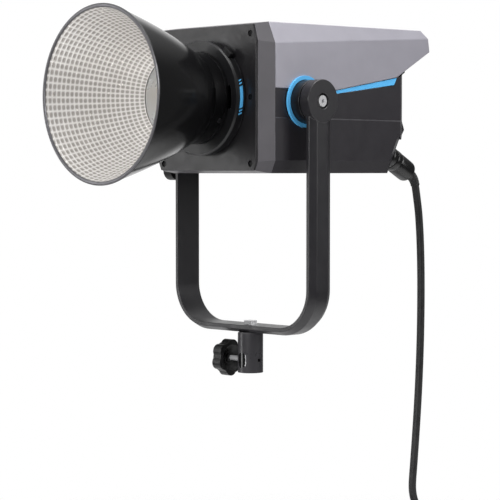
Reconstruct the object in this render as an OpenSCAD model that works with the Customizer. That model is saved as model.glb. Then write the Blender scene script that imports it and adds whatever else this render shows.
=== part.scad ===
// Studio spotlight: an LED lamp head with a clip-on faceted reflector, hung in a
// U-shaped tilt yoke whose socket takes a 16 mm stand stud.
// Origin: centre of the socket's mouth.  +Z up, the lamp shines along -Y.

/* [Stand socket] */
// Outside diameter of the stand socket
receiver_d = 30; // [28:0.5:32]
// Radius of the socket's bore, for a 16 mm stud
stud_bore_r = 8.1; // [8.05:0.01:8.2]
// Depth of the socket's bore
stud_bore_depth = 38; // [36:1:39]
// Height of the clamp screw above the socket's mouth
clamp_z = 15; // [14:0.5:16]

/* [Yoke] */
// Height of the tilt axis above the socket's mouth
tilt_z = 316; // [314:1:320]
// Inside half-width of the yoke
yoke_inner = 107.3; // [107:0.1:108]
// Height of the yoke bar's upper face
bar_top_z = 56.8; // [56.3:0.1:57.3]
// Width of the yoke strip, front to back
strip_w = 35; // [33:1:37]
// Thickness of the strip at its edges
strip_edge = 4.5; // [4:0.1:5]
// Thickness of the strip along its raised crown
strip_crown = 9; // [8.5:0.1:9]
// Inside radius of the two bends
bend_r = 45; // [43:1:46]

/* [Lamp head] */
// Half-width of the lamp body
body_hw = 87.5; // [87.5:0.1:87.8]
// Height of the optical axis
optic_z = 320; // [319.5:0.1:320.5]
// Front face of the front plate
plate_y = -71.5; // [-71.6:0.1:-71.4]
// Thickness of the moulded walls
wall = 3; // [2.8:0.1:3.2]
// Diameter of the hubs on the tilt axis
hub_d = 49; // [48:0.5:49]

/* [Reflector] */
// Outside diameter of the bayonet ring
bayonet_d = 131; // [130:0.5:132]
// Outside radius of the reflector's neck
neck_r = 52.6; // [52.6:0.1:52.8]
// Outside radius of the reflector's bell at its mouth
mouth_r = 98; // [98:0.1:98.3]
// Position of the reflector's mouth
mouth_y = -230.5; // [-231.5:0.5:-229.5]
// Radius of the mirror's throat
throat_r = 45; // [44:0.5:46]

/* [Mains lead] */
// Diameter of the mains lead
cord_d = 9.5; // [9.4:0.1:9.5]
// Mean radius of the stored coil
coil_r = 54; // [53.5:0.1:54]

/* [Hidden] */
$fn = 64;
gap = 0.3;
bore_fit = 0.05;

// Yoke
crown_bevel = 8.6;
arm_boss_in = 103.9;
arm_boss_out = 117.3;
boss_recess_r = 9;
boss_recess_x = 112.5;
pivot_r = 4;
hub_face = 102.6;
bar_bottom_z = bar_top_z - strip_crown;

// Clamp knob
knob_back = -44;
knob_t = 13;

// Lamp head outlines.  Side outlines are [y, z], front outlines are [x, z].
seam = [[-47, 330.2], [51.8, 330.2], [52.4, 325.6], [156, 339.3], [161.6, 349], [178.5, 353.4]];
slope_low = [151.8, 234.5];
slope_high = [173.2, 275];
slope_a = 27.9;
slope_len = norm(slope_high - slope_low);
bump = [184, 287];
rear_y = 178.5;
bottom_z = 234.5;
rear_low_z = 297;
waist_z = 296.5;
waist_step = 1.2;
cover_front_y = -46.8;
cover_side = [[cover_front_y, 330.5], [52, 330.5], [161, 349.3], [221, 382], [218.3, 398],
              [209, 407.8], [cover_front_y, 405]];
cover_t = 2.5;
crease_z = 381;
crease_rise = atan(17 / 265);
facet_slope = 10.5 / 23.95;
bezel_back_y = -47.2;
plate_t = 3;
plate_screws = [for (x = [-72.2, 72.2], z = [245.5, 320, 391]) [x, z]];

// Bayonet
ring_r = bayonet_d / 2;
ring_front = 85;
groove_low = 73.8;
groove_high = 81.6;
lip_y = -80;
lug_half_a = 12;
lug_r = 55;
lug_y = -79.6;
lug_t = 3;
tube_r = 48.7;

// Rear controls, [x, z]
panel_in_y = rear_y - 3;
board_y = panel_in_y - 18.4;
button_x = [-26, 0, 26];
button_z = 339;
knob_x = 60;
knob_z = 371;
button_size = [12, 6];
dmx_x = [-52, -24];
dmx_z = 314;
panel_screw_x = [-75, 75];
panel_screw_z = [302, 348];

// Power connector on the sloping face
plug_x = 60;
plug_up = 29;
plug_len = 58.3;
boot_bend_r = 20;
boot_end_a = 78;
switch_x = -20;
switch_up = 24;

// Route of the lead: straight out of the boot, down, then round into the coil's outer layer
lead = [[60, 228.3, 214.2], [60, 230.3, 204.5], [60, 233.7, 186], [60, 236.1, 164],
        [60, 237.7, 140], [60, 238.7, 112], [60, 239, 82], [60, 238.7, 52], [60, 237.9, 22],
        [60, 236.5, -8], [60, 234.6, -38], [60, 232.2, -68], [60, 229.4, -98], [60, 226.3, -128],
        [60, 224.1, -149], [60.2, 224.1, -161], [61.2, 225.9, -171.5], [63.2, 229.6, -181.6],
        [65.5, 234.2, -189.7], [70, 242.5, -202.3], [74, 251.1, -215.1]];
coil_at = [plug_x, 198, -250];
coil_half = [14.25, 19];
// From the coil's outer layer down to the mains plug
tail = [[46, 261.5, -252], [46, 262.4, -268], [46, 263.6, -284], [46, 264, -300], [46, 264, -316]];

// ---------- helpers ----------

// A cylinder along X from x0 to x1 on the tilt axis
module along_x(x0, x1, r) {
  translate([x0, 0, tilt_z]) rotate([0, 90, 0]) cylinder(r = r, h = x1 - x0);
}

// A cylinder along Y from y0 to y1 through [x, z]
module along_y(y0, y1, r, x = 0, z = optic_z, fn = 64) {
  translate([x, y0, z]) rotate([-90, 0, 0]) cylinder(r = r, h = y1 - y0, $fn = fn);
}

// A side outline, [y, z], made w wide about the middle plane
module side_slab(outline, w) {
  translate([-w / 2, 0, 0]) rotate([90, 0, 90]) linear_extrude(w) polygon(outline);
}

// A front outline, [x, z], from y0 to y1
module front_slab(outline, y0, y1) {
  translate([0, y1, 0]) rotate([90, 0, 0]) linear_extrude(y1 - y0) polygon(outline);
}

// A box from corner a to corner b
module box(a, b) {
  translate(a) cube(b - a);
}

// A profile of [radius, distance ahead of the origin] turned about the optical axis
module turned(profile) {
  translate([0, 0, optic_z]) rotate([90, 0, 0]) rotate_extrude($fn = 96) polygon(profile);
}

// The left and right halves of a front outline, made from its right half
function both(right) = concat(right, [for (i = [len(right) - 1 : -1 : 0]) [-right[i][0], right[i][1]]]);

// Children placed on the sloping rear face, up millimetres from its lower edge:
// local +Y leaves the face and local +Z runs up it
module on_slope(x, up) {
  translate([x, slope_low[0] + up * sin(slope_a), slope_low[1] + up * cos(slope_a)])
    rotate([-slope_a, 0, 0]) children();
}

// A tube of radius r along points, with flat ends
module tube(points, r, sides = 10) {
  n = len(points);
  dirs = [for (i = [0 : n - 1])
    let (d = points[min(i + 1, n - 1)] - points[max(i - 1, 0)]) d / norm(d)];
  rings = [for (i = [0 : n - 1], s = [0 : sides - 1])
    let (a = 360 * s / sides, side = [1, 0, 0], up = cross(dirs[i], side))
    points[i] + r * (cos(a) * side + sin(a) * up)];
  skin = [for (i = [0 : n - 2], s = [0 : sides - 1])
    let (t = (s + 1) % sides)
    [i * sides + s, (i + 1) * sides + s, (i + 1) * sides + t, i * sides + t]];
  first = [for (s = [0 : sides - 1]) s];
  last = [for (s = [sides - 1 : -1 : 0]) (n - 1) * sides + s];
  polyhedron(rings, concat([first, last], skin));
}

// ---------- yoke ----------

// Cross-section of the yoke strip: thickness, width
strip = [[0, -strip_w / 2], [strip_edge, -strip_w / 2], [strip_crown, -strip_w / 2 + crown_bevel],
         [strip_crown, strip_w / 2 - crown_bevel], [strip_edge, strip_w / 2], [0, strip_w / 2]];

module yoke_half() {
  bend_x = yoke_inner - bend_r;
  bend_z = bar_top_z + bend_r;
  translate([yoke_inner, 0, bend_z]) linear_extrude(tilt_z - bend_z) polygon(strip);
  translate([bend_x, 0, bend_z]) rotate([-90, 0, 0])
    rotate_extrude(angle = 90, $fn = 96) polygon([for (p = strip) [p[0] + bend_r, p[1]]]);
  translate([bend_x, 0, bar_top_z]) rotate([0, 90, 180])
    linear_extrude(bend_x) polygon(strip);
  along_x(arm_boss_in, arm_boss_out, hub_d / 2);
}

module yoke_bracket() {
  color([0.22, 0.21, 0.23]) difference() {
    union() {
      yoke_half();
      mirror([1, 0, 0]) yoke_half();
    }
    along_x(-arm_boss_out - 1, arm_boss_out + 1, pivot_r + bore_fit);
    along_x(boss_recess_x, arm_boss_out + 1, boss_recess_r);
    translate([0, 0, bar_bottom_z - 1]) cylinder(r = 5.2, h = strip_crown + 2);
  }
}

module stand_receiver() {
  color([0.16, 0.16, 0.17]) difference() {
    union() {
      cylinder(d = receiver_d, h = bar_bottom_z - 1);
      translate([0, 0, bar_bottom_z - 1]) cylinder(d = receiver_d - 3, h = 1);
    }
    translate([0, 0, -1]) cylinder(r = stud_bore_r, h = stud_bore_depth + 1);
    translate([0, 0, stud_bore_depth - 1]) cylinder(r = 5, h = bar_bottom_z);
    translate([-receiver_d, 0, clamp_z]) rotate([0, 90, 0])
      cylinder(r = 3 + bore_fit, h = receiver_d);
    translate([0, 0, clamp_z]) rotate([0, 90, 0]) cylinder(r = 2.5, h = receiver_d);
    translate([0, -receiver_d / 2 + 3, clamp_z]) insert_shape(5.9, 9.2, receiver_d);
  }
}

// An upright slot shape, half-width a and half-height b, along -Y
module insert_shape(a, b, depth) {
  rotate([90, 0, 0]) linear_extrude(depth) union() {
    translate([0, b - a]) circle(a);
    translate([0, a - b]) circle(a);
    square([2 * a, 2 * (b - a)], center = true);
  }
}

module receiver_insert() {
  color([0.08, 0.08, 0.08]) intersection() {
    translate([0, -receiver_d / 2 + 2.95, clamp_z]) insert_shape(5.8, 9.1, 4);
    cylinder(d = receiver_d - 1.4, h = 2 * clamp_z);
  }
}

module receiver_bolt() {
  color([0.55, 0.55, 0.57]) union() {
    translate([0, 0, bar_top_z]) rotate(20) cylinder(d = 17, h = 4.4, $fn = 6);
    translate([0, 0, stud_bore_depth + 0.5]) cylinder(r = 4.95, h = bar_top_z - stud_bore_depth);
  }
}

module friction_washers() {
  color([0.3, 0.28, 0.26]) for (s = [-1, 1]) {
    difference() {
      along_x(min(s * arm_boss_in, s * (arm_boss_in - 0.95)),
              max(s * arm_boss_in, s * (arm_boss_in - 0.95)), 22);
      along_x(-arm_boss_out, arm_boss_out, pivot_r + 0.4);
    }
  }
}

// ---------- stand clamp, on the left of the socket ----------

module clamp_tip() {
  color([0.75, 0.6, 0.3]) translate([-stud_bore_r - 4, 0, clamp_z]) rotate([0, 90, 0])
    cylinder(r = 3, h = 3);
}

module clamp_screw() {
  color([0.8, 0.8, 0.82]) translate([knob_back, 0, clamp_z]) rotate([0, 90, 0])
    cylinder(r = 3, h = -knob_back - stud_bore_r - 4.3);
}

// Six shallow lobes round a dished face with a boss at its middle
module clamp_knob() {
  lobes = 6;
  color([0.1, 0.1, 0.1]) translate([knob_back, 0, clamp_z]) rotate([90, 0, 90]) difference() {
    union() {
      difference() {
        linear_extrude(knob_t) union() {
          circle(18.8);
          for (i = [0 : lobes - 1]) rotate(360 * (i + 0.4) / lobes) translate([13.4, 0]) circle(8.3);
        }
        translate([0, 0, knob_t - 6]) cylinder(r1 = 8, r2 = 15.5, h = 6.1);
      }
      cylinder(r = 5.6, h = knob_t - 1.5);
    }
    translate([0, 0, -1]) cylinder(r = 3.02, h = 20);
  }
}

// ---------- tilt lock lever, on the left arm ----------

module tilt_lever() {
  lever_in = -118;
  lever_out = -140;
  grip_in = -127;
  drop = 78;
  color([0.1, 0.1, 0.11]) difference() {
    union() {
      along_x(lever_out, lever_in, 14);
      translate([lever_out, 0, tilt_z]) rotate([90, 0, 90]) linear_extrude(grip_in - lever_out) union() {
        circle(14);
        translate([-12, -drop]) square([24, drop]);
        translate([0, -drop]) circle(12);
      }
    }
    along_x(lever_out + 4, lever_in + 1, pivot_r + 0.02);
  }
}

module tilt_lever_screw() {
  color([0.75, 0.75, 0.77]) along_x(-135.9, -90, pivot_r);
}

// ---------- tilt pivots on the lamp head ----------

module pivot_screw() {
  color([0.8, 0.8, 0.82]) difference() {
    union() {
      along_x(92, boss_recess_x + 0.3, pivot_r);
      along_x(boss_recess_x + gap, boss_recess_x + 4.2, 6.4);
    }
    translate([boss_recess_x + 1.5, 0, tilt_z]) rotate([0, 90, 0]) cylinder(r = 3, h = 9, $fn = 6);
  }
}

module pivot_hubs() {
  color([0.12, 0.12, 0.13]) for (s = [0, 1]) mirror([s, 0, 0]) difference() {
    union() {
      along_x(body_hw, hub_face, hub_d / 2);
      along_x(body_hw - wall - 2, body_hw, 12);
    }
    along_x(body_hw - wall - 3, hub_face + 1, pivot_r + bore_fit);
  }
}

module pivot_accent_rings() {
  color([0.25, 0.6, 0.85]) for (s = [0, 1]) mirror([s, 0, 0]) difference() {
    along_x(body_hw, body_hw + 2.6, 29.5);
    along_x(body_hw - 1, body_hw + 4, hub_d / 2 + 0.4);
  }
}

// ---------- lamp body ----------

plate_outline = both([[77.2, 238], [81.2, 247], [81.2, 383], [76.2, 401]]);
bezel_front = both([[77.6, 237.4], [82, 247.4], [82, 382.6], [76.6, 401.8]]);
bezel_back = both([[81, bottom_z], [body_hw, 249], [body_hw, crease_z], [77, 405]]);
bezel_hole = both([[74.5, 240.5], [78.6, 248], [78.6, 382], [73.6, 399]]);
chassis_front = both([[73.5, 241.5], [77.6, 249], [77.6, 381], [72.8, 398]]);

module front_plate() {
  color([0.1, 0.1, 0.11]) difference() {
    front_slab(plate_outline, plate_y, plate_y + plate_t);
    along_y(plate_y - 1, plate_y + 5, 49);
    for (p = plate_screws) {
      along_y(plate_y - 1, plate_y + 5, 1.7, p[0], p[1], 32);
      along_y(plate_y - 1, plate_y + 2, 3.5, p[0], p[1], 32);
    }
  }
}

module front_plate_screws() {
  color([0.3, 0.3, 0.31]) for (p = plate_screws) difference() {
    union() {
      along_y(plate_y + 1.2, plate_y + 2, 3.3, p[0], p[1], 32);
      along_y(plate_y + 2, plate_y + 6, 1.5, p[0], p[1], 32);
    }
    translate([p[0], plate_y + 1.5, p[1]]) rotate([90, 0, 0]) cylinder(r = 1.5, h = 5, $fn = 6);
  }
}

module front_bezel() {
  color([0.33, 0.32, 0.34]) difference() {
    hull() {
      front_slab(bezel_front, plate_y + plate_t, plate_y + plate_t + 0.1);
      front_slab(bezel_back, bezel_back_y - 0.1, bezel_back_y);
    }
    front_slab(bezel_hole, plate_y, bezel_back_y + 1);
  }
}

// The facet planes lean inwards from the crease; the section is [x, height over the crease]
module crease_section(hw, top) {
  translate([0, cover_front_y, crease_z]) rotate([crease_rise, 0, 0])
    front_slab(both([[hw, -120], [hw, 0], [hw - facet_slope * top, top]]), -30, 300);
}

cover_inside = [[cover_front_y - 1, 320], [240, 320], [240, 408.3 - cover_t],
                [cover_front_y - 1, 405 - cover_t]];

module top_cover() {
  color([0.62, 0.61, 0.65]) difference() {
    intersection() {
      side_slab(cover_side, 2 * body_hw);
      crease_section(body_hw, 60);
    }
    intersection() {
      side_slab(cover_inside, 2 * body_hw);
      crease_section(body_hw - cover_t, 60);
    }
  }
}

module accent_stripes() {
  outline = [[53, 329.9], [161, 348.6], [156.4, 340.1], [53, 326.4]];
  color([0.25, 0.6, 0.85]) for (s = [0, 1]) mirror([s, 0, 0])
    translate([body_hw - waist_step - 2, 0, 0]) rotate([90, 0, 90]) linear_extrude(2.4)
      polygon(outline);
}

// The corners between the sides and the sloping face, cut back by inset
module slope_chamfers(inset) {
  x0 = 80 - 1.6 * inset;
  for (s = [0, 1]) mirror([s, 0, 0]) on_slope(0, -20)
    linear_extrude(slope_len + 20) polygon([[x0, 0.01], [body_hw + 0.01, -11 - 2.2 * inset],
                                            [body_hw + 9, -11 - 2.2 * inset], [body_hw + 9, 9], [x0, 9]]);
}

module lower_housing() {
  outer = concat([[-47, bottom_z], slope_low, slope_high, bump, [rear_y, rear_low_z]],
                 [for (i = [len(seam) - 1 : -1 : 0]) seam[i]]);
  inner = [[-60, bottom_z + wall], [slope_low[0] - 1.8, bottom_z + wall],
           [slope_high[0] - 3.1, slope_high[1] + 0.6], [bump[0] - 3.4, bump[1]],
           [rear_y - wall, rear_low_z - 1], [rear_y - wall, 420], [-60, 420]];
  plan = both([[body_hw, -50], [body_hw, rear_y - 11], [80, rear_y], [78.6, bump[0] + 1]]);
  plan_in = both([[body_hw - wall, -61], [body_hw - wall, rear_y - 12], [78.5, rear_y - wall],
                  [77, bump[0] + 1]]);
  upper_hw = body_hw - waist_step;
  section = both([[81, bottom_z], [body_hw, 249], [body_hw, waist_z], [upper_hw, waist_z + waist_step],
                  [upper_hw, 420]]);
  section_in = both([[79.5, bottom_z + wall], [body_hw - wall, 250.5], [body_hw - wall, waist_z - 3],
                     [upper_hw - wall, waist_z - 1], [upper_hw - wall, 421]]);
  color([0.17, 0.165, 0.175]) difference() {
    intersection() {
      side_slab(outer, 2 * body_hw);
      linear_extrude(500) polygon(plan);
      front_slab(section, -50, 200);
    }
    difference() {
      intersection() {
        side_slab(inner, 2 * body_hw);
        linear_extrude(500) polygon(plan_in);
        front_slab(section_in, -70, 200);
      }
      slope_chamfers(wall);
    }
    slope_chamfers(0);
    box([-79.9, rear_y - 8, rear_low_z + 0.2], [79.9, rear_y + 9, 360]);
    along_x(-100, 100, 12.2);
    for (i = [-7 : 7]) box([i * 9 - 1.5, -20, 230], [i * 9 + 1.5, 60, 240]);
    for (i = [0 : 3]) on_slope(-62 + 4 * i, 8) translate([0, -8, 0]) cube([1.8, 16, 28]);
    on_slope(plug_x, plug_up) rotate([-90, 0, 0]) translate([0, 0, -12]) cylinder(r = 10.3, h = 20);
    on_slope(switch_x, switch_up) translate([-11.2, -10, -7.7]) cube([22.4, 18, 15.4]);
    for (s = [0, 1]) mirror([s, 0, 0]) translate([body_hw - waist_step - 2.2, 0, 0])
      rotate([90, 0, 90]) linear_extrude(5) polygon([[52, 330], [161.5, 349.5], [156.2, 339.6], [52, 325.9]]);
  }
}

// ---------- rear panel and controls ----------

plate_top_z = 328;
panel_outline = both([[79.6, plate_top_z + gap], [79.6, 352.8], [84.4, 355.8], [84.4, 393.5],
                      [79.5, 404.6]]);

module rear_panel() {
  color([0.13, 0.13, 0.14]) difference() {
    front_slab(panel_outline, panel_in_y, rear_y);
    box([-33.2, panel_in_y - 1, 352.8], [33.2, rear_y + 1, 392.2]);
    for (x = button_x)
      box([x - button_size[0] / 2 - gap, panel_in_y - 1, button_z - button_size[1] / 2 - gap],
          [x + button_size[0] / 2 + gap, rear_y + 1, button_z + button_size[1] / 2 + gap]);
    for (x = [-knob_x, knob_x]) along_y(panel_in_y - 1, rear_y + 1, 3.4, x, knob_z);
    for (x = panel_screw_x) along_y(panel_in_y - 1, rear_y + 1, 1.7, x, panel_screw_z[1], 32);
  }
}

// The plate below the controls, which carries the data sockets
module socket_plate() {
  color([0.13, 0.13, 0.14]) difference() {
    box([-79.6, panel_in_y, rear_low_z + 0.5], [79.6, rear_y, plate_top_z]);
    for (x = dmx_x) along_y(panel_in_y - 1, rear_y + 1, 11.1, x, dmx_z);
    box([-2.2, panel_in_y - 1, 311.3], [14.2, rear_y + 1, 317.7]);
    for (i = [0 : 7]) box([30 + 5.5 * i, panel_in_y - 1, 304], [32.4 + 5.5 * i, rear_y + 1, 326]);
    for (x = panel_screw_x) along_y(panel_in_y - 1, rear_y + 1, 1.7, x, panel_screw_z[0], 32);
  }
}

module rear_panel_screws() {
  color([0.3, 0.3, 0.31]) for (x = panel_screw_x, z = panel_screw_z) difference() {
    union() {
      along_y(rear_y, rear_y + 1.6, 2.9, x, z, 32);
      along_y(panel_in_y - 5, rear_y, 1.5, x, z, 32);
    }
    translate([x, rear_y + 3, z]) rotate([90, 0, 0]) cylinder(r = 1.4, h = 2.4, $fn = 6);
  }
}

module display_window() {
  color([0.05, 0.07, 0.1]) box([-33, panel_in_y + 0.4, 353], [33, rear_y - 0.3, 392]);
}

module control_board() {
  color([0.05, 0.25, 0.12]) union() {
    box([-74, board_y - 1.6, 332], [74, board_y, 396]);
    for (x = [-knob_x, knob_x])
      box([x - 6.5, board_y, knob_z - 6.5], [x + 6.5, panel_in_y - 8, knob_z + 6.5]);
    for (x = button_x) box([x - 4, board_y, button_z - 3], [x + 4, panel_in_y - 7, button_z + 3]);
    box([-31, board_y, 355], [31, panel_in_y - 0.2, 390]);
  }
}

module control_knob(x) {
  difference() {
    union() {
      along_y(panel_in_y - 7, rear_y + 3, 3, x, knob_z);
      along_y(rear_y + 2, rear_y + 15, 9, x, knob_z);
      along_y(rear_y + 1.6, rear_y + 4, 10, x, knob_z);
    }
    for (i = [0 : 17]) translate([x, 0, knob_z]) rotate([0, 20 * i, 0])
      translate([8.7, rear_y + 5, -0.5]) cube([2, 12, 1]);
  }
}

module dimmer_knob() {
  color([0.1, 0.1, 0.1]) control_knob(-knob_x);
}

module mode_knob() {
  color([0.1, 0.1, 0.1]) control_knob(knob_x);
}

module push_button(x) {
  a = button_size / 2;
  box([x - a[0], panel_in_y - 2, button_z - a[1]], [x + a[0], rear_y + 1.8, button_z + a[1]]);
  box([x - a[0] - 1.5, panel_in_y - 5, button_z - a[1] - 1.5],
      [x + a[0] + 1.5, panel_in_y - 2, button_z + a[1] + 1.5]);
}

module menu_button() {
  color([0.2, 0.2, 0.21]) push_button(button_x[0]);
}

module back_button() {
  color([0.2, 0.2, 0.21]) push_button(button_x[1]);
}

module light_button() {
  color([0.2, 0.2, 0.21]) push_button(button_x[2]);
}

module dmx_sockets() {
  color([0.35, 0.35, 0.36]) for (x = dmx_x) difference() {
    union() {
      along_y(panel_in_y - 12, rear_y, 10.9, x, dmx_z);
      along_y(rear_y, rear_y + 1.5, 12.6, x, dmx_z);
    }
    along_y(panel_in_y - 8, rear_y + 3, 9, x, dmx_z);
  }
}

module usb_port() {
  color([0.6, 0.6, 0.62]) difference() {
    box([-2, panel_in_y - 6, 311.5], [14, rear_y + 0.4, 317.5]);
    box([1, panel_in_y - 3, 313], [11, rear_y + 2, 316]);
  }
}

module switch_frame() {
  color([0.07, 0.07, 0.07]) on_slope(switch_x, switch_up) difference() {
    union() {
      translate([-11, -9, -7.5]) cube([22, 9, 15]);
      translate([-13, 0, -9.5]) cube([26, 1.4, 19]);
    }
    translate([-9, -7.8, -6.3]) cube([18, 12, 12.6]);
  }
}

module power_switch() {
  color([0.5, 0.08, 0.07]) on_slope(switch_x, switch_up) translate([0, -1.5, 0]) rotate([8, 0, 0])
    intersection() {
      translate([-8.6, 0, 0]) rotate([0, 90, 0]) cylinder(r = 5.9, h = 17.2);
      translate([-9, 0, 0]) rotate([90, 0, 90]) linear_extrude(18)
        polygon([[-4.5, -6], [4.6, -6], [3.2, 0], [4.6, 6], [-4.5, 6]]);
    }
}

// ---------- power connector ----------

module power_inlet() {
  color([0.12, 0.12, 0.12]) on_slope(plug_x, plug_up) rotate([-90, 0, 0]) union() {
    translate([0, 0, -10]) cylinder(r = 10, h = 10);
    cylinder(r = 13.2, h = 6);
  }
}

module head_plug() {
  color([0.06, 0.06, 0.06]) on_slope(plug_x, plug_up) rotate([-90, 0, 0]) union() {
    translate([0, 0, 6]) cylinder(r = 13.5, h = plug_len - 16);
    translate([0, 0, plug_len - 10]) rotate_extrude()
      polygon([[0, 0], [13.5, 0], [13.2, 3], [12, 6], [10, 8.4], [8, 9.6], [6.5, 10], [0, 10]]);
  }
}

// The boot bends down from the plug's end; its arc lies in the plane x = plug_x
module strain_relief() {
  color([0.05, 0.05, 0.05]) on_slope(plug_x, plug_up) translate([0, plug_len, -boot_bend_r])
    rotate([0, -90, 0]) rotate_extrude(angle = boot_end_a - slope_a)
      translate([boot_bend_r, 0]) circle(6.3);
}

// ---------- inside the lamp body ----------

module inner_chassis() {
  color([0.6, 0.6, 0.6]) union() {
    difference() {
      front_slab(chassis_front, plate_y + plate_t, plate_y + plate_t + 2);
      along_y(-80, -60, 47);
      for (p = plate_screws) along_y(-80, -60, 1.6, p[0], p[1], 32);
    }
    for (s = [0, 1]) mirror([s, 0, 0]) {
      box([75, plate_y + plate_t + 2, 262], [77, -44, 372]);
      box([75, -46, 262], [82.3, -44, 372]);
      box([80.3, -44, 262], [82.3, 140, 372]);
    }
    box([-81, 40, 262], [81, 42, 266]);
    box([-81, 138, 262], [81, 140, 266]);
  }
}

module cob_led() {
  color([0.9, 0.8, 0.35]) union() {
    box([-27, -58, optic_z - 27], [27, -56, optic_z + 27]);
    along_y(-58.8, -58, 17);
  }
}

module cob_holder() {
  color([0.9, 0.9, 0.88]) difference() {
    box([-31, -59.6, optic_z - 31], [31, -56, optic_z + 31]);
    box([-27.2, -58.2, optic_z - 27.2], [27.2, -55, optic_z + 27.2]);
    along_y(-62, -55, 20);
  }
}

module mixing_cup() {
  color([0.95, 0.95, 0.95])
    turned([[21, 59.7], [22.2, 59.7], [46.5, 67.6], [46.5, 68.3], [44.9, 68.3], [21, 60.6]]);
}

module protective_glass() {
  color([0.95, 0.97, 1, 0.6]) turned([[0, 68.6], [48.6, 68.6], [48.6, 71.2], [30, 71.6], [0, 71.9]]);
}

module heat_sink() {
  color([0.7, 0.7, 0.72]) union() {
    box([-60, -56, optic_z - 58], [60, -50, optic_z + 58]);
    for (i = [-12 : 12]) box([4.9 * i - 0.6, -50, optic_z - 58], [4.9 * i + 0.6, 8, optic_z + 58]);
  }
}

module heat_pipes() {
  color([0.75, 0.42, 0.25]) for (z = [-42, -14, 14, 42])
    translate([-63, -22, optic_z + z]) rotate([0, 90, 0]) cylinder(r = 3, h = 126, $fn = 32);
}

fan_r = 56;
module fan_frame() {
  color([0.1, 0.1, 0.1]) union() {
    difference() {
      box([-59.5, 9, optic_z - 59.5], [59.5, 34, optic_z + 59.5]);
      along_y(8, 35, fan_r + 1);
    }
    along_y(30.5, 34, 20);
    for (a = [45 : 90 : 315]) translate([0, 0, optic_z]) rotate([0, a, 0])
      box([19, 31, -2], [58, 34, 2]);
  }
}

module fan_rotor() {
  color([0.15, 0.15, 0.15]) intersection() {
    along_y(10, 30, fan_r - 0.5);
    union() {
      along_y(11, 30, 19);
      for (i = [0 : 6]) translate([0, 20, optic_z]) rotate([0, 360 * i / 7, 0]) rotate([38, 0, 0])
        box([17, -11, -0.9], [fan_r, 11, 0.9]);
    }
  }
}

module driver_board() {
  color([0.05, 0.2, 0.3]) union() {
    box([-68, 60, 290], [68, 61.6, 388]);
    for (x = [-48, -16, 16, 48]) box([x - 9, 61.6, 300], [x + 9, 80, 322]);
    for (x = [-50 : 20 : 50]) along_y(61.6, 84, 7, x, 350);
  }
}

module power_supply() {
  color([0.1, 0.3, 0.15]) union() {
    box([-70, 50, 246], [70, 136, 248]);
    box([-60, 56, 248], [-22, 96, 276]);
    box([-12, 56, 248], [22, 84, 272]);
    for (x = [36, 56]) translate([x, 72, 248]) cylinder(r = 8, h = 26);
    box([30, 92, 248], [66, 128, 268]);
    box([-60, 104, 248], [14, 128, 258]);
  }
}

// ---------- bayonet ----------

module bayonet_ring() {
  color([0.08, 0.08, 0.09]) difference() {
    turned([[49.8, -plate_y], [ring_r - 1.2, -plate_y], [ring_r, -plate_y + 1.5],
            [ring_r, ring_front - 2.5], [ring_r - 1.5, ring_front], [49.8, ring_front]]);
    turned([[40, 71], [57, 71], [57, -lip_y], [40, -lip_y]]);
    intersection() {
      along_y(-90, -70, 56);
      for (k = [0, 120, 240]) translate([0, -90, optic_z]) rotate([0, -k, 0]) rotate([-90, 0, 0])
        linear_extrude(20) polygon([[0, 0], [80, -80 * tan(lug_half_a + 2)], [80, 80 * tan(lug_half_a + 2)]]);
    }
    release_slot(gap);
    turned([[ring_r - 0.5, groove_low], [ring_r + 5, groove_low], [ring_r + 5, groove_high],
            [ring_r - 0.5, groove_high]]);
  }
}

// The slot for the release lever, at the upper right of the ring
module release_slot(c) {
  translate([0, 0, optic_z]) rotate([0, -48, 0]) {
    box([58.5 - c, -83, -6.5 - c], [72, -73.3 + c, 6.5 + c]);
  }
}

module bayonet_marks() {
  color([0.25, 0.6, 0.85]) intersection() {
    turned([[ring_r - 0.45, groove_low + 0.2], [ring_r, groove_low + 0.2],
            [ring_r, groove_high - 0.2], [ring_r - 0.45, groove_high - 0.2]]);
    translate([0, -90, optic_z]) rotate([-90, 0, 0])
      linear_extrude(20) polygon([[0, 0], [80, -80 * tan(20)], [80, 80 * tan(20)]]);
  }
}

module release_lever() {
  color([0.1, 0.1, 0.11]) translate([0, 0, optic_z]) rotate([0, -48, 0]) union() {
    box([59, -82.7, -6.3], [65.5, -78.2, 6.3]);
    box([65.5, -82.7, -6.3], [71, -77.8, 6.3]);
  }
}

// ---------- reflector ----------

function bell_r(t, r0, r1) = sqrt(r0 * r0 + (r1 * r1 - r0 * r0) * t);
neck_end = 105;
mouth = -mouth_y - 1;
throat_at = 125;
bell_steps = 14;

module reflector_flange() {
  lugs = [90, 210, 330];
  color([0.6, 0.6, 0.62]) difference() {
    union() {
      turned([[throat_r, 73.5], [tube_r, 73.5], [tube_r, 85.35], [neck_r, 85.35], [neck_r, 90],
              [50.8, 90], [50.8, 98], [throat_r, 98]]);
      intersection() {
        turned([[47, -lug_y - lug_t], [lug_r, -lug_y - lug_t], [lug_r, -lug_y], [47, -lug_y]]);
        for (k = lugs) translate([0, -90, optic_z]) rotate([0, -k, 0]) rotate([-90, 0, 0])
          linear_extrude(20) polygon([[0, 0], [80, -80 * tan(lug_half_a)], [80, 80 * tan(lug_half_a)]]);
      }
    }
    rivet_holes(1.65);
  }
}

module rivet_holes(r) {
  for (a = [30 : 120 : 270]) translate([0, -94, optic_z]) rotate([0, a, 0]) rotate([0, 90, 0])
    translate([0, 0, 48]) cylinder(r = r, h = 8, $fn = 32);
}

module reflector_rivets() {
  color([0.7, 0.7, 0.7]) for (a = [30 : 120 : 270])
    translate([0, -94, optic_z]) rotate([0, a, 0]) rotate([0, 90, 0]) union() {
      translate([0, 0, 48.5]) cylinder(r = 1.6, h = 4.4, $fn = 32);
      translate([0, 0, 52.7]) cylinder(r = 2.8, h = 0.9, $fn = 32);
    }
}

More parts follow.
